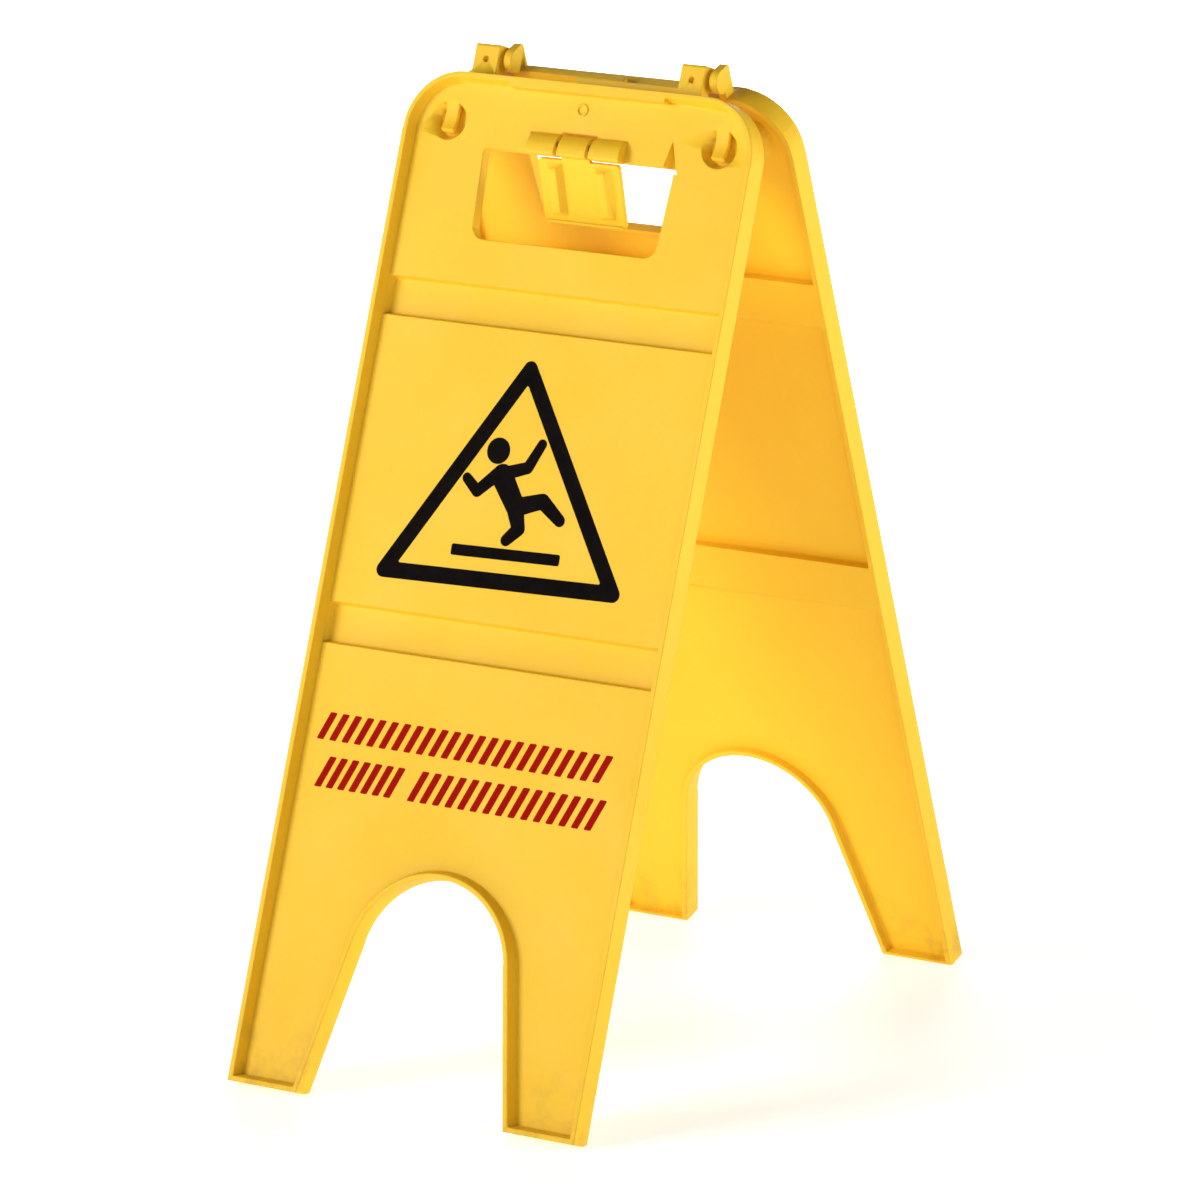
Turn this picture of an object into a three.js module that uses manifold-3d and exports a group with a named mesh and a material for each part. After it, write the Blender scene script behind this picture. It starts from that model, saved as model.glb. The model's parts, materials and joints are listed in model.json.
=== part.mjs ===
// Folding wet-floor sign: two moulded panels hinged along their top edge, standing open as an A-frame.
//
// World frame: millimetres, +Z up, floor at Z = 0. The X axis runs along the hinge, the front panel stands
// towards -Y and the rear panel towards +Y, and the origin is on the floor midway between the four feet.
//
// Each panel is modelled in its own frame, then tilted into place. In the panel frame the hinge axis is the
// X axis, +Y runs up the panel and +Z points out of its front, printed side. A "drop" is a distance down the
// panel from the hinge axis, and a "level" is a height along +Z.

import * as THREE from 'three';
import { mergeVertices } from 'three/addons/utils/BufferGeometryUtils.js';
import Module from 'manifold-3d';

const wasm = await Module();
wasm.setup();

// ---------------------------------------------------------------- driving dimensions

const PANEL_LENGTH = 600;                              // hinge axis to the end of the feet
const HALF_WIDTH = 116;
const LEAN = THREE.MathUtils.degToRad(20);             // tilt of each panel from vertical when open
const GAP = 0.3;                                       // running clearance between separate pieces

const RIM_BACK = 0.6;                                  // levels: inner edge of the rim,
const RIM_FRONT = 15;                                  // outer edge of the rim,
const FACE = 8;                                        // recessed printed face,
const FACE_BACK = 5.4;                                 // back of the face plate,
const BAND = 3.5;                                      // floor of the two deeper cross bands
const RIM_WALL = 3;
const FRONT_DRAFT = 2;                                 // slope of the rim's inner wall, front side
const BACK_DRAFT = 0.6;
const BAND_DRAFT = 1.6;
const TOP_DROP = 11.2;                                 // top edge of the rim
const CORNER_RADIUS = 35;
const FOOT_TRIM = 1.2;                                 // height cut from the foot ends to give flat soles

const ARCH_RADIUS = 51.4;
const ARCH_DROP = 518.9;                               // centre of the arch between the legs
const LEG_FLARE = THREE.MathUtils.degToRad(11.8);

const BANDS = [[131, 154], [321, 345]];                // drops of the top and bottom of each cross band
const BAND_WALL = 2.6;

const HANDLE_TOP = 52.6;                               // handle opening: drops, half widths, corner radii
const HANDLE_BOTTOM = 105;
const HANDLE_HALF_TOP = 63.5;
const HANDLE_HALF_BOTTOM = 61.5;
const HANDLE_RADIUS_TOP = 3;
const HANDLE_RADIUS_BOTTOM = 8;
const COLLAR = 2.5;                                    // wall around the opening, on the back

const KNUCKLE_RADIUS = 7;                              // panel hinge
const KNUCKLE_FRONT = 9;
const HINGE_PIN_RADIUS = 1.9;
const HINGE_END_WALL = 1.2;                            // closed outer end of each rear knuckle's bore
const FRONT_KNUCKLES = [[-80.3, -64.2], [57, 72.4]];
const REAR_KNUCKLES = [[57, 61.8], [-79.8, -75]];      // given in the rear panel's own frame

const CUP_X = 90;                                      // hook cups near the top corners
const CUP_DROP = 39;
const CUP_MOUTH = 11.5;
const CUP_FLOOR_RADIUS = 9;
const CUP_FLOOR = 1.8;
const CUP_WALL = 1.8;

const LATCH_DROP = 47;                                 // latch pin axis, drop and level
const LATCH_LEVEL = 11;
const LATCH_PIN_RADIUS = 1.3;
const LATCH_LEFT = [-32, -13.2];                       // the fixed latch knuckles, either side of
const LATCH_MIDDLE = [-11, 7.8];                       // the flap's own knuckle
const LATCH_RIGHT = [10, 30];
const LATCH_END_WALL = 1.5;                            // closed right end of the latch pin's bore
const LATCH_SWEEP = 7.4;                               // radius the flap's knuckle is trimmed to
const LATCH_BLOCK_TOP = 40.5;
const LATCH_BLOCK_BOTTOM = 53.5;
const FLAP_LEAN = THREE.MathUtils.degToRad(12);        // hanging angle of the flap from vertical
const FLAP_LENGTH = 47;
const FLAP_SHOULDER = 8.6;                             // where the flap widens below its knuckle
const FLAP_HALF_WIDTH = 27;
const FLAP_THICKNESS = 2.5;

const HINGE_HEIGHT = PANEL_LENGTH * Math.cos(LEAN) - RIM_BACK * Math.sin(LEAN) - FOOT_TRIM;

// ---------------------------------------------------------------- solids

function toSolid(geometry) {
  const bare = geometry.index ? geometry.toNonIndexed() : geometry.clone();
  bare.deleteAttribute('normal');
  bare.deleteAttribute('uv');
  const merged = mergeVertices(bare, 1e-4);
  return new wasm.Manifold(new wasm.Mesh({
    numProp: 3,
    vertProperties: new Float32Array(merged.attributes.position.array),
    triVerts: new Uint32Array(merged.index.array),
  }));
}

function toGeometry(solid) {
  const mesh = solid.getMesh();
  const geometry = new THREE.BufferGeometry();
  geometry.setAttribute('position', new THREE.BufferAttribute(mesh.vertProperties, 3));
  geometry.setIndex(new THREE.BufferAttribute(mesh.triVerts, 1));
  return geometry;
}

// A box given by its low and high limits along each axis.
function box(x, y, z) {
  const geometry = new THREE.BoxGeometry(x[1] - x[0], y[1] - y[0], z[1] - z[0]);
  geometry.translate((x[0] + x[1]) / 2, (y[0] + y[1]) / 2, (z[0] + z[1]) / 2);
  return toSolid(geometry);
}

// A shape in the panel's XY plane, extruded from one level to another.
function slab(shape, low, high, curveSegments = 6) {
  const depth = high - low;
  const geometry = new THREE.ExtrudeGeometry(shape, { depth, bevelEnabled: false, curveSegments });
  geometry.translate(0, 0, low);
  return toSolid(geometry);
}

// A profile drawn with its x as level and its y as height, extruded along the hinge direction.
function bar(profile, left, right, curveSegments = 6) {
  const depth = right - left;
  const geometry = new THREE.ExtrudeGeometry(profile, { depth, bevelEnabled: false, curveSegments });
  geometry.rotateY(-Math.PI / 2);
  geometry.scale(-1, 1, 1);
  geometry.translate(left, 0, 0);
  const index = [...Array(geometry.attributes.position.count).keys()];
  for (let i = 0; i < index.length; i += 3) {
    [index[i + 1], index[i + 2]] = [index[i + 2], index[i + 1]];
  }
  geometry.setIndex(index);
  return toSolid(geometry);
}

// A solid between two outlines with the same number of points, one at each level.
function loft(lowPoints, low, highPoints, high) {
  const count = lowPoints.length;
  const positions = [];
  for (const [points, level] of [[lowPoints, low], [highPoints, high]]) {
    for (const point of points) {
      positions.push(point.x, point.y, level);
    }
  }
  const index = [];
  for (const [a, b, c] of THREE.ShapeUtils.triangulateShape(lowPoints, [])) {
    index.push(a, c, b);
  }
  for (const [a, b, c] of THREE.ShapeUtils.triangulateShape(highPoints, [])) {
    index.push(a + count, b + count, c + count);
  }
  for (let i = 0; i < count; i += 1) {
    const next = (i + 1) % count;
    index.push(i, next, next + count, i, next + count, i + count);
  }
  const geometry = new THREE.BufferGeometry();
  geometry.setAttribute('position', new THREE.Float32BufferAttribute(positions, 3));
  geometry.setIndex(index);
  return toSolid(geometry);
}

// A round pin or bore along X at a given height and level.
function roundBar(radius, left, right, height = 0, level = 0, segments = 24) {
  const geometry = new THREE.CylinderGeometry(radius, radius, right - left, segments);
  geometry.rotateZ(Math.PI / 2);
  geometry.translate((left + right) / 2, height, level);
  return toSolid(geometry);
}

// A round boss or recess standing along Z.
function cone(x, y, lowRadius, low, highRadius, high, segments = 32) {
  const geometry = new THREE.CylinderGeometry(highRadius, lowRadius, high - low, segments);
  geometry.rotateX(Math.PI / 2);
  geometry.translate(x, y, (low + high) / 2);
  return toSolid(geometry);
}

function roundedRectangle(left, right, bottom, top, radius) {
  const shape = new THREE.Shape();
  shape.absarc(right - radius, bottom + radius, radius, -Math.PI / 2, 0);
  shape.absarc(right - radius, top - radius, radius, 0, Math.PI / 2);
  shape.absarc(left + radius, top - radius, radius, Math.PI / 2, Math.PI);
  shape.absarc(left + radius, bottom + radius, radius, Math.PI, Math.PI * 1.5);
  return shape;
}

// ---------------------------------------------------------------- panel outline

function arcPoints(x, y, radius, start, end, segments) {
  const points = [];
  for (let i = 0; i <= segments; i += 1) {
    const angle = start + (end - start) * i / segments;
    points.push(new THREE.Vector2(x + radius * Math.cos(angle), y + radius * Math.sin(angle)));
  }
  return points;
}

// The panel's outline moved inwards by `inset`: round top corners, and two legs either side of an arch.
function panelOutline(inset) {
  const half = HALF_WIDTH - inset;
  const top = -TOP_DROP - inset;
  const foot = -PANEL_LENGTH + inset;
  const corner = CORNER_RADIUS - inset;
  const arch = ARCH_RADIUS + inset;
  const tangentX = arch * Math.cos(LEG_FLARE);
  const tangentY = -ARCH_DROP + arch * Math.sin(LEG_FLARE);
  const inner = tangentX + (tangentY - foot) * Math.tan(LEG_FLARE);
  return [
    new THREE.Vector2(inner, foot),
    new THREE.Vector2(half, foot),
    ...arcPoints(half - corner, top - corner, corner, 0, Math.PI / 2, 10),
    ...arcPoints(corner - half, top - corner, corner, Math.PI / 2, Math.PI, 10),
    new THREE.Vector2(-half, foot),
    new THREE.Vector2(-inner, foot),
    ...arcPoints(0, -ARCH_DROP, arch, Math.PI - LEG_FLARE, LEG_FLARE, 26),
  ];
}

// Handle opening, grown outwards by `grow`.
function handleShape(grow) {
  const top = -HANDLE_TOP + grow;
  const bottom = -HANDLE_BOTTOM - grow;
  const halfTop = HANDLE_HALF_TOP + grow;
  const halfBottom = HANDLE_HALF_BOTTOM + grow;
  const radiusTop = HANDLE_RADIUS_TOP + grow;
  const radiusBottom = HANDLE_RADIUS_BOTTOM + grow;
  const shape = new THREE.Shape();
  shape.absarc(halfBottom - radiusBottom, bottom + radiusBottom, radiusBottom, -Math.PI / 2, 0);
  shape.absarc(halfTop - radiusTop, top - radiusTop, radiusTop, 0, Math.PI / 2);
  shape.absarc(radiusTop - halfTop, top - radiusTop, radiusTop, Math.PI / 2, Math.PI);
  shape.absarc(radiusBottom - halfBottom, bottom + radiusBottom, radiusBottom, Math.PI, Math.PI * 1.5);
  return shape;
}

// ---------------------------------------------------------------- panel features

// The hollow in front of the face: a drafted pocket, and the two cross bands cut deeper into it.
function frontPocket() {
  const mouth = RIM_FRONT + 1;
  const mouthInset = RIM_WALL - FRONT_DRAFT / (RIM_FRONT - FACE);
  let pocket = loft(panelOutline(RIM_WALL + FRONT_DRAFT), FACE, panelOutline(mouthInset), mouth);
  const thickStretch = [-50.5, 53.5];
  const thickness = 3;
  const rimInner = TOP_DROP + RIM_WALL;
  const thickRim = box(thickStretch, [-rimInner - thickness, -TOP_DROP], [0, mouth + 1]);
  pocket = pocket.subtract(thickRim);
  const bandHalf = HALF_WIDTH - RIM_WALL - FRONT_DRAFT;
  const slope = 1.2;
  for (const [top, bottom] of BANDS) {
    const corners = (half, inset) => [
      new THREE.Vector2(-half, -bottom + inset),
      new THREE.Vector2(half, -bottom + inset),
      new THREE.Vector2(half, -top - inset),
      new THREE.Vector2(-half, -top - inset),
    ];
    const groove = loft(corners(bandHalf - BAND_DRAFT, slope), BAND, corners(bandHalf, 0), FACE + 0.01);
    pocket = pocket.add(groove);
  }
  return pocket;
}

// The shallower hollow behind the face plate, which the cross bands interrupt.
function backPocket() {
  const below = RIM_BACK - 1;
  let pocket = loft(panelOutline(RIM_WALL), below, panelOutline(RIM_WALL + BACK_DRAFT), FACE_BACK);
  for (const [top, bottom] of BANDS) {
    const bridge = box([-HALF_WIDTH, HALF_WIDTH], [-bottom - BAND_WALL, -top + BAND_WALL], [below - 1, FACE]);
    pocket = pocket.subtract(bridge);
  }
  return pocket;
}

// One hinge knuckle: square towards the front, round towards the other panel, with a web down to the rim.
function hingeKnuckle(left, right) {
  const edge = 2;
  const profile = new THREE.Shape();
  profile.moveTo(RIM_BACK, -TOP_DROP - 1);
  profile.lineTo(KNUCKLE_FRONT, -TOP_DROP - 1);
  profile.absarc(KNUCKLE_FRONT - edge, KNUCKLE_RADIUS - edge, edge, 0, Math.PI / 2);
  profile.absarc(0, 0, KNUCKLE_RADIUS, Math.PI / 2, Math.PI * 1.5);
  profile.lineTo(RIM_BACK, -KNUCKLE_RADIUS);
  return bar(profile, left, right, 8);
}

// A tapered cup with a hooked tongue hanging into it, to take the end link of a barrier chain.
function addHookCup(panel, x) {
  const y = -CUP_DROP;
  const backing = cone(x, y, CUP_FLOOR_RADIUS + CUP_WALL, RIM_BACK, CUP_MOUTH + CUP_WALL, FACE);
  const hollow = cone(x, y, CUP_FLOOR_RADIUS, CUP_FLOOR, CUP_MOUTH, FACE + 0.01);
  const tongueHalf = 4.2;
  const root = y + CUP_MOUTH + 1;
  const profile = new THREE.Shape();
  profile.moveTo(FACE, root);
  profile.quadraticCurveTo(FACE - 4, y + 2, FACE + 1, y - 5.5);
  profile.lineTo(FACE - 1.7, y - 7);
  profile.quadraticCurveTo(FACE - 6.5, y + 1, FACE_BACK, root);
  return panel.add(backing).subtract(hollow).add(bar(profile, x - tongueHalf, x + tongueHalf));
}

// One latch knuckle: flush with the face at its top, curling out to the front of the rim.
function latchKnuckle([left, right]) {
  const edge = 1.5;
  const root = FACE - 1.5;
  const profile = new THREE.Shape();
  profile.moveTo(root, -LATCH_BLOCK_BOTTOM);
  profile.lineTo(RIM_FRONT - edge, -LATCH_BLOCK_BOTTOM);
  profile.absarc(RIM_FRONT - edge, edge - LATCH_BLOCK_BOTTOM, edge, -Math.PI / 2, 0);
  profile.quadraticCurveTo(RIM_FRONT, -LATCH_BLOCK_TOP - 3, FACE, -LATCH_BLOCK_TOP);
  profile.lineTo(root, -LATCH_BLOCK_TOP);
  return bar(profile, left, right, 6);
}

// The two fixed latch knuckles, the slots beside them, the room the flap swings in, and the pin's bore,
// which is closed at its right end.
function addLatchMount(panel) {
  const slotWidth = 2.2;
  const below = -HANDLE_TOP - 1;
  const notchTop = LATCH_SWEEP + 0.6 - LATCH_DROP;
  const notch = box([LATCH_LEFT[1], LATCH_RIGHT[0]], [below, notchTop], [-1, RIM_FRONT + 1]);
  const slot = box([LATCH_LEFT[0] - slotWidth, LATCH_LEFT[0]], [below, -LATCH_BLOCK_TOP],
    [-1, RIM_FRONT + 1]);
  const swingHalf = FLAP_HALF_WIDTH + 1.5;
  const swingRoom = box([-swingHalf, swingHalf], [below, 1 - HANDLE_TOP + COLLAR], [-1, FACE_BACK]);
  const bore = roundBar(LATCH_PIN_RADIUS + GAP, LATCH_LEFT[0] - 1, LATCH_RIGHT[1] - LATCH_END_WALL,
    -LATCH_DROP, LATCH_LEVEL);
  return panel
    .subtract(notch)
    .subtract(slot)
    .subtract(swingRoom)
    .add(latchKnuckle(LATCH_LEFT))
    .add(latchKnuckle(LATCH_RIGHT))
    .subtract(bore);
}

// A triangle with its tip up, moved outwards by `grow` from the pointed recess at the handle's corner.
function pointedShape(grow) {
  return new THREE.Shape([
    new THREE.Vector2(59.5, -37.5 + 2 * grow),
    new THREE.Vector2(56 - grow, -HANDLE_TOP - 1 - grow),
    new THREE.Vector2(65.5 + grow, -56.5 - grow),
  ]);
}

// Small moulding marks on the front panel: a ring above the latch, and a pointed recess by the handle.
function addMouldMarks(panel) {
  const ringX = -3;
  const ringDrop = 25.5;
  const ring = cone(ringX, -ringDrop, 4, FACE - 0.5, 3.7, FACE + 0.8, 24)
    .subtract(cone(ringX, -ringDrop, 2.4, FACE - 0.2, 2.6, FACE + 1, 24));
  const recessFloor = 1.8;
  const backing = slab(pointedShape(2), RIM_BACK, FACE_BACK + 0.01)
    .subtract(slab(handleShape(0), -1, RIM_FRONT));
  return panel.add(ring).add(backing).subtract(slab(pointedShape(0), recessFloor, FACE + 1));
}

// One complete panel in its own frame.
function makePanel(knuckles, ledge, isFront) {
  const outline = panelOutline(0);
  let panel = loft(outline, RIM_BACK, outline, RIM_FRONT)
    .subtract(frontPocket())
    .subtract(backPocket())
    .add(slab(handleShape(COLLAR), RIM_BACK, FACE))
    .subtract(slab(handleShape(0), -1, RIM_FRONT));

  const ledgeTop = 6.6;
  const ledgeFront = 6;
  panel = panel.add(box(ledge, [-TOP_DROP - 1, -ledgeTop], [RIM_BACK, ledgeFront]));

  for (const x of [-CUP_X, CUP_X]) {
    panel = addHookCup(panel, x);
  }
  const dimpleRadius = 1.9;
  const dimpleHeight = 2;
  const dimpleDepth = 2.5;
  for (const [left, right] of knuckles) {
    const dimple = cone((left + right) / 2, -dimpleHeight, dimpleRadius, KNUCKLE_FRONT - dimpleDepth,
      dimpleRadius, KNUCKLE_FRONT + 1, 16);
    const boreStart = isFront ? left - 1 : left + HINGE_END_WALL;
    const bore = roundBar(HINGE_PIN_RADIUS + GAP, boreStart, right + 1);
    panel = panel.add(hingeKnuckle(left, right)).subtract(bore).subtract(dimple);
  }
  if (isFront) {
    panel = addMouldMarks(addLatchMount(panel));
  }
  return panel;
}

// A long rib with sloping sides, standing on the flap's front.
function flapRib(x, level) {
  const top = -FLAP_SHOULDER - 2;
  const bottom = -FLAP_LENGTH + 5;
  const height = 4;
  const outline = (half, inset) => [
    new THREE.Vector2(x - half, bottom + inset),
    new THREE.Vector2(x + half, bottom + inset),
    new THREE.Vector2(x + half, top - inset),
    new THREE.Vector2(x - half, top - inset),
  ];
  return loft(outline(5, 0), level - 0.01, outline(2.2, 2.5), level + height);
}

// The flap in the panel frame: a ribbed plate under a knuckle, hanging at rest from the latch pin.
function makeFlap() {
  const hang = THREE.MathUtils.radToDeg(LEAN + FLAP_LEAN);
  const half = FLAP_THICKNESS / 2;
  const bead = 1.6;
  const neck = box(LATCH_MIDDLE, [-FLAP_SHOULDER - 2, 0], [-half, half]);
  const plateShape = roundedRectangle(-FLAP_HALF_WIDTH, FLAP_HALF_WIDTH, -FLAP_LENGTH, -FLAP_SHOULDER, 2);
  const edge = box([-FLAP_HALF_WIDTH + 2, FLAP_HALF_WIDTH - 2], [-FLAP_LENGTH, -FLAP_LENGTH + bead],
    [0, half + bead]);
  let flap = neck.add(slab(plateShape, -half, half)).add(edge);
  const ribX = 16;
  for (const x of [-ribX, ribX]) {
    flap = flap.add(flapRib(x, half));
  }
  const [left, right] = LATCH_MIDDLE;
  const knuckle = latchKnuckle([left, right])
    .translate([0, LATCH_DROP, -LATCH_LEVEL])
    .intersect(roundBar(LATCH_SWEEP, left, right, 0, 0, 40));
  return flap
    .rotate([hang, 0, 0])
    .add(knuckle)
    .subtract(roundBar(LATCH_PIN_RADIUS + GAP, left - 1, right + 1))
    .translate([0, -LATCH_DROP, LATCH_LEVEL]);
}

// ---------------------------------------------------------------- assembly

// Panel frame to world: +Y of the panel tilts to LEAN from vertical, and the hinge axis goes to its height.
const panelTilt = 90 - THREE.MathUtils.radToDeg(LEAN);
const underFloor = box([-300, 300], [-400, 400], [-100, 0]);

function standFront(solid) {
  return solid.rotate([panelTilt, 0, 0]).translate([0, 0, HINGE_HEIGHT]).subtract(underFloor);
}

function standRear(solid) {
  return standFront(solid).rotate([0, 0, 180]);
}

const yellow = { color: 0xf5cf33, roughness: 0.42, metalness: 0 };
const steel = { color: 0xb9bcc0, roughness: 0.3, metalness: 1 };

const sign = new THREE.Group();

function addPiece(name, solid, look) {
  const mesh = new THREE.Mesh(toGeometry(solid), new THREE.MeshStandardMaterial(look));
  mesh.name = name;
  sign.add(mesh);
}

const LEDGE_START = -12;
addPiece('front_panel', standFront(makePanel(FRONT_KNUCKLES, [LEDGE_START, FRONT_KNUCKLES[1][0] + 1], true)),
  yellow);
addPiece('rear_panel', standRear(makePanel(REAR_KNUCKLES, [LEDGE_START, REAR_KNUCKLES[0][0] + 1], false)),
  yellow);
addPiece('latch_flap', standFront(makeFlap()), yellow);

const pinInset = 0.6;
const latchPin = roundBar(LATCH_PIN_RADIUS, LATCH_LEFT[0] + pinInset, LATCH_RIGHT[1] - LATCH_END_WALL - GAP,
  -LATCH_DROP, LATCH_LEVEL);
addPiece('latch_pin', standFront(latchPin), steel);
for (const [index, name] of ['hinge_pin_left', 'hinge_pin_right'].entries()) {
  const start = FRONT_KNUCKLES[index][0] + pinInset;
  const end = -REAR_KNUCKLES[index][0] - HINGE_END_WALL - GAP;
  addPiece(name, standFront(roundBar(HINGE_PIN_RADIUS, start, end)), steel);
}

export default sign;
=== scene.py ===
"""Looks for the folding wet-floor sign: moulded skins over the CAD panels, printed marks, and a studio."""

import json
import math

import bmesh
import bpy
from mathutils import Matrix, Vector
from mathutils.geometry import delaunay_2d_cdt


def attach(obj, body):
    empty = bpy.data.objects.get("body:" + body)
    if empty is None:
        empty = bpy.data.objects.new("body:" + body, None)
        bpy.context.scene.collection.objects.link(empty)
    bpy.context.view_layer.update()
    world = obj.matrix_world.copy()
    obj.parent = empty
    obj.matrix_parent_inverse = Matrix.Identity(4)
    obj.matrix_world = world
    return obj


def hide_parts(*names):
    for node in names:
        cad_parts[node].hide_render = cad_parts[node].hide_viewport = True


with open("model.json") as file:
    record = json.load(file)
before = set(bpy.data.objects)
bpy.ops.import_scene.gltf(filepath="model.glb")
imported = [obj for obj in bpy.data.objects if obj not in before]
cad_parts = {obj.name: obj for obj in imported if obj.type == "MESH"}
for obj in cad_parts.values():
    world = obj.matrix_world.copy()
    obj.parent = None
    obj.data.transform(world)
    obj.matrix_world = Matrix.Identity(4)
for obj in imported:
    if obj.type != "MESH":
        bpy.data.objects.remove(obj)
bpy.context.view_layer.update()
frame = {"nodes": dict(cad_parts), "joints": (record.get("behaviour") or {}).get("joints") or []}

MM = 0.001

# ---------------------------------------------------------------- frame of each panel
# In the panel frame +Y runs up the panel from the hinge axis and +Z points out of its printed side.

fold = next(joint for joint in frame["joints"] if joint["name"] == "panel_fold")
HINGE = Vector(fold["pos_m"])
LEAN = math.radians(fold["range_deg"][1] / 2)
FRONT_FRAME = Matrix.Translation(HINGE) @ Matrix.Rotation(math.pi / 2 - LEAN, 4, "X")
REAR_FRAME = Matrix.Rotation(math.pi, 4, "Z") @ FRONT_FRAME

FACE_LEVEL = 8 * MM              # printed face above the hinge axis, as the panels are moulded


# ---------------------------------------------------------------- node materials

def new_material(name):
    """A material with its nodes, its links, its shader and the position that its patterns follow."""
    material = bpy.data.materials.new(name)
    material.use_nodes = True
    nodes = material.node_tree.nodes
    position = nodes.new("ShaderNodeTexCoord").outputs["Object"]
    return material, nodes, material.node_tree.links, nodes["Principled BSDF"], position


def noise(nodes, links, vector, scale, detail, roughness=0.5):
    node = nodes.new("ShaderNodeTexNoise")
    node.inputs["Scale"].default_value = scale
    node.inputs["Detail"].default_value = detail
    node.inputs["Roughness"].default_value = roughness
    links.new(vector, node.inputs["Vector"])
    return node.outputs["Fac"]


def remap(nodes, links, value, low, high, to_low, to_high):
    """The value carried from the range low to high over to the range to_low to to_high."""
    node = nodes.new("ShaderNodeMapRange")
    node.inputs["From Min"].default_value = low
    node.inputs["From Max"].default_value = high
    node.inputs["To Min"].default_value = to_low
    node.inputs["To Max"].default_value = to_high
    links.new(value, node.inputs["Value"])
    return node.outputs["Result"]


def mix_colour(nodes, links, factor, first, second):
    """From the first colour to the second as the factor rises from 0 to 1."""
    node = nodes.new("ShaderNodeMix")
    node.data_type = "RGBA"
    links.new(factor, node.inputs["Factor"])
    for socket, value in (("A", first), ("B", second)):
        target = next(s for s in node.inputs if s.name == socket and s.type == "RGBA")
        if isinstance(value, tuple):
            target.default_value = value
        else:
            links.new(value, target)
    return next(s for s in node.outputs if s.type == "RGBA")


def math_node(nodes, links, operation, first, second):
    node = nodes.new("ShaderNodeMath")
    node.operation = operation
    for index, value in enumerate((first, second)):
        if isinstance(value, (int, float)):
            node.inputs[index].default_value = value
        else:
            links.new(value, node.inputs[index])
    return node.outputs["Value"]


def add_bump(nodes, links, shader, height, strength, relief):
    """Roughens the shader's surface by the height pattern, over a relief in metres."""
    bump = nodes.new("ShaderNodeBump")
    bump.inputs["Strength"].default_value = strength
    bump.inputs["Distance"].default_value = relief
    links.new(height, bump.inputs["Height"])
    links.new(bump.outputs["Normal"], shader.inputs["Normal"])
    return bump


def yellow_plastic(name):
    """Satin moulded polypropylene: fine grain, faint flow marks, scuffs, paler edges that are partly wear
    and partly a painted highlight, and dusty feet.
    """
    material, nodes, links, shader, position = new_material(name)

    deep_yellow = (0.86, 0.520, 0.018, 1)
    pale_yellow = (0.89, 0.550, 0.024, 1)
    orange_speck = (0.80, 0.42, 0.008, 1)
    worn_highlit_edge_yellow = (0.91, 0.63, 0.10, 1)
    dust_brown = (0.30, 0.15, 0.03, 1)
    edge_reach = 1.1 * MM
    wear_and_highlight_strength = 0.35
    dust_height = 45 * MM

    cloud = remap(nodes, links, noise(nodes, links, position, 7.0, 3.0), 0.35, 0.65, 0.0, 1.0)
    base = mix_colour(nodes, links, cloud, deep_yellow, pale_yellow)
    speckle = remap(nodes, links, noise(nodes, links, position, 420.0, 2.0), 0.3, 0.75, 0.0, 0.10)
    base = mix_colour(nodes, links, speckle, base, orange_speck)

    # edges are paled in patches: partly wear, partly a painted edge highlight
    bevel = nodes.new("ShaderNodeBevel")
    bevel.samples = 4
    bevel.inputs["Radius"].default_value = edge_reach
    geometry = nodes.new("ShaderNodeNewGeometry")
    dot = nodes.new("ShaderNodeVectorMath")
    dot.operation = "DOT_PRODUCT"
    links.new(bevel.outputs["Normal"], dot.inputs[0])
    links.new(geometry.outputs["Normal"], dot.inputs[1])
    edge = remap(nodes, links, dot.outputs["Value"], 0.99, 0.80, 0.0, 1.0)
    patchy = remap(nodes, links, noise(nodes, links, position, 60.0, 5.0, 0.65), 0.42, 0.66, 0.1, 0.8)
    edge_wear_and_highlight = math_node(nodes, links, "MULTIPLY", edge, patchy)
    edge_wear_and_highlight = math_node(nodes, links, "MULTIPLY", edge_wear_and_highlight, wear_and_highlight_strength)
    base = mix_colour(nodes, links, edge_wear_and_highlight, base, worn_highlit_edge_yellow)

    separate = nodes.new("ShaderNodeSeparateXYZ")
    links.new(position, separate.inputs["Vector"])
    low_down = remap(nodes, links, separate.outputs["Z"], dust_height, 0.0, 0.0, 1.0)
    dust = remap(nodes, links, noise(nodes, links, position, 55.0, 6.0, 0.7), 0.46, 0.72, 0.0, 0.5)
    dust = math_node(nodes, links, "MULTIPLY", low_down, dust)
    base = mix_colour(nodes, links, dust, base, dust_brown)
    links.new(base, shader.inputs["Base Color"])

    stretched = nodes.new("ShaderNodeMapping")
    stretched.inputs["Scale"].default_value = (900, 60, 40)
    stretched.inputs["Rotation"].default_value = (0.2, 0.35, 0.5)
    links.new(position, stretched.inputs["Vector"])
    scratch = noise(nodes, links, stretched.outputs["Vector"], 1.0, 2.0)
    scratch = remap(nodes, links, scratch, 0.68, 0.74, 0.0, 1.0)
    rough = remap(nodes, links, noise(nodes, links, position, 25.0, 4.0), 0.3, 0.7, 0.50, 0.60)
    rough = math_node(nodes, links, "ADD", rough, math_node(nodes, links, "MULTIPLY", scratch, 0.10))
    links.new(rough, shader.inputs["Roughness"])

    grain = noise(nodes, links, position, 1400.0, 2.0)
    ripple = noise(nodes, links, position, 40.0, 2.0)
    height = math_node(nodes, links, "ADD", math_node(nodes, links, "MULTIPLY", grain, 0.22), ripple)
    height = math_node(nodes, links, "SUBTRACT", height, math_node(nodes, links, "MULTIPLY", scratch, 0.2))
    bump = add_bump(nodes, links, shader, height, 0.35, 0.25 * MM)
    links.new(bevel.outputs["Normal"], bump.inputs["Normal"])

    shader.inputs["Specular IOR Level"].default_value = 0.25
    shader.inputs["Subsurface Weight"].default_value = 0.10
    shader.inputs["Subsurface Radius"].default_value = (1.0, 0.55, 0.08)
    shader.inputs["Subsurface Scale"].default_value = 2.5 * MM
    return material


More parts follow.
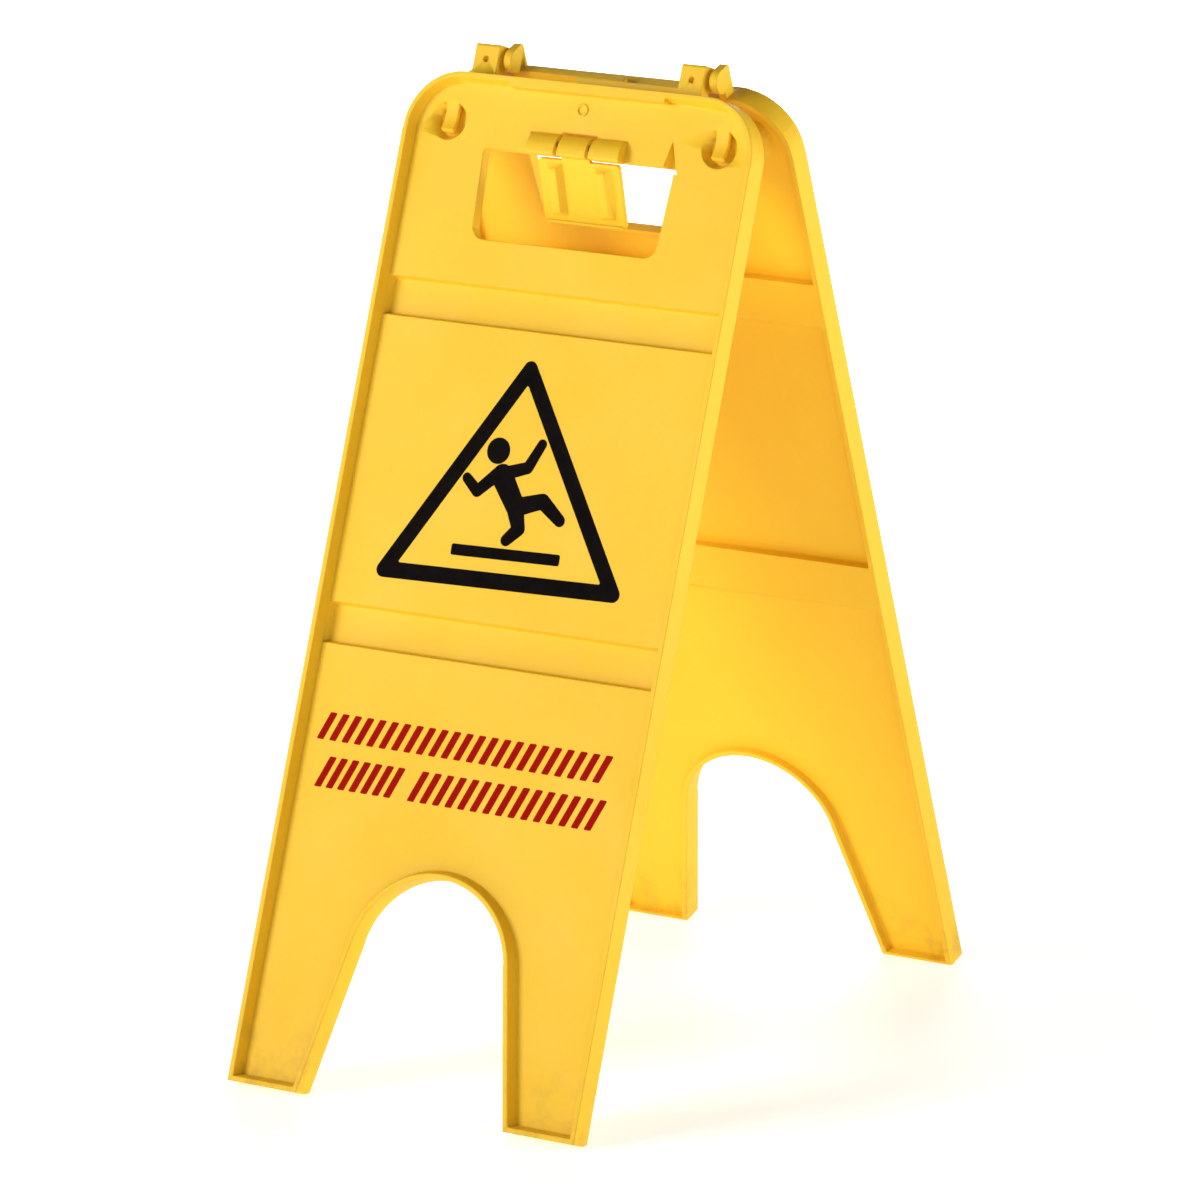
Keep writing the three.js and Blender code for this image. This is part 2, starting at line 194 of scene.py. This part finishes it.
def screen_ink(name, colour, thin_colour):
    """Screen-printed ink: nearly even, with pinholes, faint mottling and a slightly glossy skin."""
    material, nodes, links, shader, position = new_material(name)
    mottle = remap(nodes, links, noise(nodes, links, position, 90.0, 5.0, 0.6), 0.35, 0.75, 0.0, 0.35)
    pinhole = remap(nodes, links, noise(nodes, links, position, 1500.0, 1.0), 0.70, 0.78, 0.0, 0.5)
    mask = math_node(nodes, links, "MAXIMUM", mottle, pinhole)
    links.new(mix_colour(nodes, links, mask, colour, thin_colour), shader.inputs["Base Color"])
    rough = remap(nodes, links, noise(nodes, links, position, 300.0, 3.0), 0.3, 0.7, 0.68, 0.85)
    links.new(rough, shader.inputs["Roughness"])
    add_bump(nodes, links, shader, noise(nodes, links, position, 900.0, 2.0), 0.25, 0.05 * MM)
    shader.inputs["Specular IOR Level"].default_value = 0.03
    return material


def drawn_steel(name):
    """Bright drawn wire with fine lengthwise lines and a little tarnish."""
    material, nodes, links, shader, position = new_material(name)
    bright = (0.62, 0.62, 0.64, 1)
    tarnished = (0.34, 0.31, 0.27, 1)
    stretched = nodes.new("ShaderNodeMapping")
    stretched.inputs["Scale"].default_value = (60, 6000, 6000)
    links.new(position, stretched.inputs["Vector"])
    lines = noise(nodes, links, stretched.outputs["Vector"], 1.0, 3.0)
    tarnish = remap(nodes, links, noise(nodes, links, position, 240.0, 4.0), 0.45, 0.7, 0.0, 0.6)
    links.new(mix_colour(nodes, links, tarnish, bright, tarnished), shader.inputs["Base Color"])
    links.new(remap(nodes, links, lines, 0.3, 0.7, 0.22, 0.42), shader.inputs["Roughness"])
    add_bump(nodes, links, shader, lines, 0.3, 0.03 * MM)
    shader.inputs["Metallic"].default_value = 1.0
    return material


def studio_floor(name):
    """Pale paint around the sign, brightening outwards into an evenly lit cove."""
    material, nodes, links, shader, position = new_material(name)
    darker_paint = (0.86, 0.86, 0.86, 1)
    paler_paint = (0.90, 0.90, 0.90, 1)
    sign_reach = 0.3
    cove_start = 1.8
    near_glow = 0.55
    far_glow = 0.95
    shade = remap(nodes, links, noise(nodes, links, position, 3.0, 4.0), 0.3, 0.7, 0.0, 1.0)
    links.new(mix_colour(nodes, links, shade, darker_paint, paler_paint), shader.inputs["Base Color"])
    shader.inputs["Roughness"].default_value = 0.75
    shader.inputs["Specular IOR Level"].default_value = 0.2
    shader.inputs["Emission Color"].default_value = (1, 1, 1, 1)
    radius = nodes.new("ShaderNodeVectorMath")
    radius.operation = "LENGTH"
    links.new(position, radius.inputs[0])
    glow = remap(nodes, links, radius.outputs["Value"], sign_reach, cove_start, near_glow, far_glow)
    links.new(glow, shader.inputs["Emission Strength"])
    return material


YELLOW = yellow_plastic("moulded_yellow")
BLACK_INK = screen_ink("black_ink", (0.0035, 0.0025, 0.0025, 1), (0.012, 0.009, 0.006, 1))
RED_INK = screen_ink("red_ink", (0.33, 0.004, 0.003, 1), (0.40, 0.014, 0.004, 1))
STEEL = drawn_steel("drawn_steel")


# ---------------------------------------------------------------- objects and pieces

def add_object(name, data):
    """A new object in the scene around a mesh, a light or a camera."""
    obj = bpy.data.objects.new(name, data)
    bpy.context.scene.collection.objects.link(obj)
    return obj


def finish_piece(obj, material, body):
    """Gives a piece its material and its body."""
    obj.data.materials.clear()
    obj.data.materials.append(material)
    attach(obj, body)


# ---------------------------------------------------------------- moulded skins over the CAD solids

EDGE_ROUNDING = 0.6 * MM
NARROWEST_ROUNDED_FACE = 3 * EDGE_ROUNDING


def is_roomy(vertex):
    """True where every triangle around the vertex is wide enough to lose a strip to the rounding."""
    for face in vertex.link_faces:
        longest = max(edge.calc_length() for edge in face.edges)
        if 2 * face.calc_area() / longest < NARROWEST_ROUNDED_FACE:
            return False
    return True


def soften(node, name):
    """A copy of a CAD solid, cleaned of slivers, whose sharp edges are rounded over where there is room."""
    mesh = frame["nodes"][node].data.copy()
    smallest_step = 0.06 * MM
    level = math.radians(1)
    sharp = math.radians(30)
    smoothed = math.radians(12)    # facets that meet at less than this are shaded as one curve
    work = bmesh.new()
    work.from_mesh(mesh)
    bmesh.ops.remove_doubles(work, verts=work.verts, dist=smallest_step)
    bmesh.ops.dissolve_degenerate(work, edges=work.edges, dist=smallest_step)
    bmesh.ops.dissolve_limit(work, angle_limit=level, verts=work.verts, edges=work.edges)
    bmesh.ops.triangulate(work, faces=work.faces, quad_method="BEAUTY", ngon_method="BEAUTY")
    roomy = {vertex for vertex in work.verts if is_roomy(vertex)}
    weight = work.edges.layers.float.new("bevel_weight_edge")
    for edge in work.edges:
        if edge.calc_face_angle() > sharp and roomy.issuperset(edge.verts):
            edge[weight] = 1
    work.to_mesh(mesh)
    work.free()
    mesh.name = name
    obj = add_object(name, mesh)
    rounding = obj.modifiers.new("rounded_edges", "BEVEL")
    rounding.width = EDGE_ROUNDING
    rounding.segments = 3
    rounding.limit_method = "WEIGHT"
    rounding.use_clamp_overlap = False
    bpy.context.view_layer.objects.active = obj
    obj.select_set(True)
    bpy.ops.object.modifier_apply(modifier=rounding.name)
    bpy.ops.object.shade_smooth_by_angle(angle=smoothed)
    flat = obj.modifiers.new("flat_faces_stay_flat", "WEIGHTED_NORMAL")
    flat.mode = "FACE_AREA"
    flat.weight = 100
    flat.keep_sharp = True
    bpy.ops.object.modifier_apply(modifier=flat.name)
    obj.select_set(False)
    return obj


def skin(node, name, material, body):
    """The finished piece that stands in for one CAD solid."""
    obj = soften(node, name)
    finish_piece(obj, material, body)
    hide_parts(node)


skin("front_panel", "front_moulding", YELLOW, "front")
skin("rear_panel", "rear_moulding", YELLOW, "rear")
skin("latch_flap", "flap_moulding", YELLOW, "latch")
for pin in ("hinge_pin_left", "hinge_pin_right", "latch_pin"):
    skin(pin, pin + "_wire", STEEL, "front")


# ---------------------------------------------------------------- printed marks

INK_THICKNESS = 0.12 * MM


def rounded_polygon(corners, radius, segments=6):
    """Corner points of a polygon with each corner rounded, anticlockwise."""
    points = []
    count = len(corners)
    for i, corner in enumerate(corners):
        here = Vector(corner)
        before = (Vector(corners[i - 1]) - here).normalized()
        after = (Vector(corners[(i + 1) % count]) - here).normalized()
        half = before.angle(after) / 2
        reach = radius / math.tan(half)
        centre = here + (before + after).normalized() * (radius / math.sin(half))
        start = here + before * reach - centre
        end = here + after * reach - centre
        first = math.atan2(start.y, start.x)
        sweep = (math.atan2(end.y, end.x) - first + math.pi) % (2 * math.pi) - math.pi
        for step in range(segments + 1):
            angle = first + sweep * step / segments
            points.append(centre + radius * Vector((math.cos(angle), math.sin(angle))))
    return points


def stroke(start, end, start_width, end_width, segments=8):
    """A limb: a tapering bar with round ends, anticlockwise."""
    start, end = Vector(start), Vector(end)
    heading = math.atan2(end.y - start.y, end.x - start.x)
    points = []
    quarter = math.pi / 2
    ends = ((end, end_width, heading - quarter), (start, start_width, heading + quarter))
    for centre, width, first in ends:
        for step in range(segments + 1):
            angle = first + math.pi * step / segments
            points.append(centre + width / 2 * Vector((math.cos(angle), math.sin(angle))))
    return points


def disc(centre, radius, segments=28):
    """A round outline, anticlockwise."""
    return [Vector(centre) + radius * Vector((math.cos(a), math.sin(a)))
            for a in (2 * math.pi * i / segments for i in range(segments))]


def raise_ink(work, shapes, holes=()):
    """One closed layer of ink on the face over the union of flat outlines in millimetres, less the holes."""
    outlines = list(shapes) + list(holes)
    points = [p for outline in outlines for p in outline]
    faces = []
    start = 0
    for outline in outlines:
        faces.append(list(range(start, start + len(outline))))
        start += len(outline)
    corners, _, triangles, _, _, sources = delaunay_2d_cdt(points, [], faces, 0, 1e-4, True)
    inked = [triangle for triangle, covered in zip(triangles, sources)
             if covered and max(covered) < len(shapes)]

    lower = {}
    upper = {}
    for index in sorted({i for triangle in inked for i in triangle}):
        x, y = corners[index] * MM
        lower[index] = work.verts.new((x, y, FACE_LEVEL - INK_THICKNESS / 2))
        upper[index] = work.verts.new((x, y, FACE_LEVEL + INK_THICKNESS))
    directed = {(a, b) for t in inked for a, b in ((t[0], t[1]), (t[1], t[2]), (t[2], t[0]))}
    for triangle in inked:
        work.faces.new([upper[i] for i in triangle])
        work.faces.new([lower[i] for i in reversed(triangle)])
    for a, b in sorted(directed):
        if (b, a) not in directed:
            work.faces.new((lower[a], lower[b], upper[b], upper[a]))


def ink_object(name, build, matrix, body, material):
    """One print as a mesh of its own, drawn in the panel frame and placed by the matrix."""
    work = bmesh.new()
    build(work)
    bmesh.ops.recalc_face_normals(work, faces=work.faces)
    level = math.radians(0.5)
    bmesh.ops.dissolve_limit(work, angle_limit=level, verts=work.verts, edges=work.edges)
    mesh = bpy.data.meshes.new(name)
    work.to_mesh(mesh)
    work.free()
    mesh.transform(matrix)
    finish_piece(add_object(name, mesh), material, body)


TRIANGLE_HALF = 84.5
TRIANGLE_TOP = -166.5
TRIANGLE_BASE = -301.5
TRIANGLE_CENTRE = -4.5
TRIANGLE_STROKE = 9.4
OUTER_CORNER = 4.5
INNER_CORNER = 0.8
TILT = math.radians(1.5)


def tilted(points):
    """The pictogram sits slightly askew on the face, as screen prints often do."""
    pivot = Vector((TRIANGLE_CENTRE, (TRIANGLE_TOP + TRIANGLE_BASE) / 2))
    turn = Matrix.Rotation(TILT, 2)
    return [pivot + turn @ (p - pivot) for p in points]


def triangle_corners(inset):
    """Triangle corners moved in by inset on every side, anticlockwise."""
    slope = math.atan2(TRIANGLE_TOP - TRIANGLE_BASE, TRIANGLE_HALF)
    side = inset / math.tan(slope / 2)
    top = inset / math.cos(slope)
    return [(TRIANGLE_CENTRE + TRIANGLE_HALF - side, TRIANGLE_BASE + inset),
            (TRIANGLE_CENTRE, TRIANGLE_TOP - top),
            (TRIANGLE_CENTRE - TRIANGLE_HALF + side, TRIANGLE_BASE + inset)]


def triangle_frame(work):
    """The outline of the triangle that the figure stands in."""
    outer = tilted(rounded_polygon(triangle_corners(0), OUTER_CORNER))
    inner = tilted(rounded_polygon(triangle_corners(TRIANGLE_STROKE), INNER_CORNER))
    raise_ink(work, [outer], [inner])


def slipping_figure(work):
    """A plain stick figure losing its footing over a floor line."""
    head, head_radius = (-17, -223), 7.6
    chest, hip, standing_hip = (-12, -237), (0, -254), (0, -255)
    left_shoulder, left_elbow, left_hand = (-15, -236), (-27, -247), (-35, -240)
    right_shoulder, right_elbow, right_hand = (-9, -235), (4, -231), (11, -217)
    raised_knee, raised_foot = (17, -249), (30, -259)
    standing_knee, standing_foot = (4, -266), (-3, -273)
    limbs = [
        (chest, hip, 14, 12),
        (left_shoulder, left_elbow, 8, 7),
        (left_elbow, left_hand, 7, 6),
        (right_shoulder, right_elbow, 8, 7),
        (right_elbow, right_hand, 7, 6),
        (hip, raised_knee, 11, 9),
        (raised_knee, raised_foot, 9, 7),
        (standing_hip, standing_knee, 11, 8.5),
        (standing_knee, standing_foot, 8.5, 7),
    ]
    parts = [disc(head, head_radius)] + [stroke(*limb) for limb in limbs]
    raise_ink(work, [tilted(part) for part in parts])
    floor_line = rounded_polygon([(34, -284.5), (34, -278), (-38, -278), (-38, -284.5)], 1.2, 3)
    raise_ink(work, [tilted(floor_line)])


def stripe_row(work, left, right, top, bottom):
    """A row of plain slanted stripes where a caption would be."""
    pitch = 8.4
    stripe = 4.6
    corner = 0.7
    slant = 0.42 * (top - bottom)
    count = round((right - left - slant - stripe) / pitch) + 1
    step = (right - left - slant - stripe) / (count - 1)
    for i in range(count):
        start = left + i * step
        end = start + stripe
        corners = [(end, bottom), (end + slant, top), (start + slant, top), (start, bottom)]
        raise_ink(work, [rounded_polygon(corners, corner, 3)])


def caption_stripes(work):
    """Two rows, the second in two blocks; each is left, right, top and bottom in the panel frame."""
    stripe_row(work, -103, 93, -384, -400)
    stripe_row(work, -99, -40, -409, -427)
    stripe_row(work, -36, 94, -409, -427)


for side, matrix in (("front", FRONT_FRAME), ("rear", REAR_FRAME)):
    ink_object(side + "_print_triangle", triangle_frame, matrix, side, BLACK_INK)
    ink_object(side + "_print_figure", slipping_figure, matrix, side, BLACK_INK)
    ink_object(side + "_print_caption", caption_stripes, matrix, side, RED_INK)


# ---------------------------------------------------------------- studio

def area_light(name, location, target, size, power):
    """A round soft light, its size in metres and its power in watts, aimed at the target."""
    data = bpy.data.lights.new(name, "AREA")
    data.shape = "DISK"
    data.size = size
    data.energy = power
    light = add_object(name, data)
    light.location = location
    light.rotation_euler = (Vector(target) - Vector(location)).to_track_quat("-Z", "Y").to_euler()


def build_studio():
    """A pale floor, dim even air that looks white to the camera, and four soft lights."""
    mesh = bpy.data.meshes.new("studio_floor")
    half = 30.0
    just_below_feet = -0.2 * MM
    corners = [(-half, -half, 0), (half, -half, 0), (half, half, 0), (-half, half, 0)]
    mesh.from_pydata(corners, [], [(0, 1, 2, 3)])
    mesh.materials.append(studio_floor("floor_paint"))
    floor = add_object("studio_floor", mesh)
    floor.location.z = just_below_feet

    world = bpy.data.worlds.new("studio_air")
    world.use_nodes = True
    nodes = world.node_tree.nodes
    links = world.node_tree.links
    seen = nodes.new("ShaderNodeLightPath").outputs["Is Camera Ray"]
    background = nodes["Background"]
    background.inputs["Color"].default_value = (1, 1, 1, 1)
    links.new(remap(nodes, links, seen, 0.0, 1.0, 0.14, 1.0), background.inputs["Strength"])
    bpy.context.scene.world = world

    target = (0, 0, 0.3)
    rear_inside = (0.05, 0.15, 0.25)
    area_light("key", (-1.85, -2.65, 1.35), target, 1.5, 74)
    area_light("rim", (3.1, 0.85, 0.75), target, 1.4, 56)
    area_light("back", (-1.6, 2.9, 1.3), target, 1.8, 52)
    area_light("inside_fill", (1.5, -1.9, 0.35), rear_inside, 0.9, 7)


def build_camera():
    """Long lens, in front of the sign, to its right and a little above it."""
    azimuth = math.radians(31.97)
    elevation = math.radians(13.73)
    roll = math.radians(-0.17)
    distance = 4.352
    target = Vector((0, -0.004, 0.254))
    back = Vector((math.sin(azimuth) * math.cos(elevation), -math.cos(azimuth) * math.cos(elevation),
                   math.sin(elevation)))
    data = bpy.data.cameras.new("photo_camera")
    data.sensor_width = 36
    data.lens = 226.8
    data.clip_end = 100
    camera = add_object("photo_camera", data)
    camera.location = target + back * distance
    camera.rotation_mode = "QUATERNION"
    aim = (-back).to_track_quat("-Z", "Y")
    camera.rotation_quaternion = aim @ Matrix.Rotation(roll, 3, "Z").to_quaternion()
    bpy.context.scene.camera = camera


build_studio()
build_camera()
bpy.context.scene.view_settings.view_transform = "Standard"
